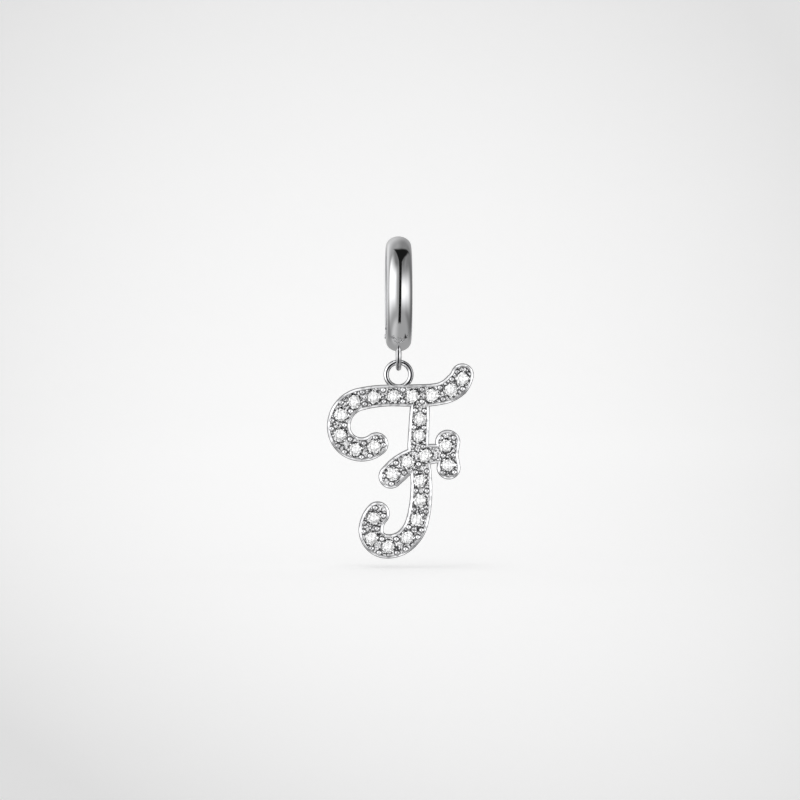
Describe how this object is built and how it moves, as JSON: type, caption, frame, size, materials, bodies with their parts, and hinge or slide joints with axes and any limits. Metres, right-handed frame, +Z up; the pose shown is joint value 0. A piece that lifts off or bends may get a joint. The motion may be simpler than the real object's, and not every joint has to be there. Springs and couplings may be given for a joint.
{
  "type": "initial pendant",
  "caption": "Pendant with a cursive letter set with round clear stones, hung by a soldered ring from the loop of a small hinged hoop bail that closes round a chain.",
  "frame": {"origin": "inside top of the hoop bail, where the chain carries it", "axes": "+Z up, +X to the viewer's right, the letter's face towards -Y"},
  "size_m": [0.0146, 0.0114, 0.0322],
  "materials": {
    "silver": "polished silver, rhodium plated",
    "stone": "cut and polished, clear"
  },
  "bodies": {
    "hoop": {"hoop_front": "silver", "hinge_pin": "silver"},
    "gate": {"hoop_gate": "silver"},
    "initial": {"letter": "silver", "stone_01": "stone", "stone_02": "stone", "stone_03": "stone", "stone_04": "stone", "stone_05": "stone", "stone_06": "stone", "stone_07": "stone", "stone_08": "stone", "stone_09": "stone", "stone_10": "stone", "stone_11": "stone", "stone_12": "stone", "stone_13": "stone", "stone_14": "stone", "stone_15": "stone", "stone_16": "stone", "stone_17": "stone", "stone_18": "stone", "stone_19": "stone", "stone_20": "stone", "stone_21": "stone", "stone_22": "stone", "stone_23": "stone", "stone_24": "stone", "stone_25": "stone"}
  },
  "joints": [
    {"name": "gate_hinge", "type": "hinge", "parent": "hoop", "child": "gate", "pos_m": [0, 0.00288, -0.00882], "axis": [-1, 0, 0], "range_deg": [0, 65]},
    {"name": "letter_swing", "type": "hinge", "parent": "hoop", "child": "initial", "pos_m": [0, 0, -0.01138], "axis": [1, 0, 0], "range_deg": [-90, 90]}
  ]
}
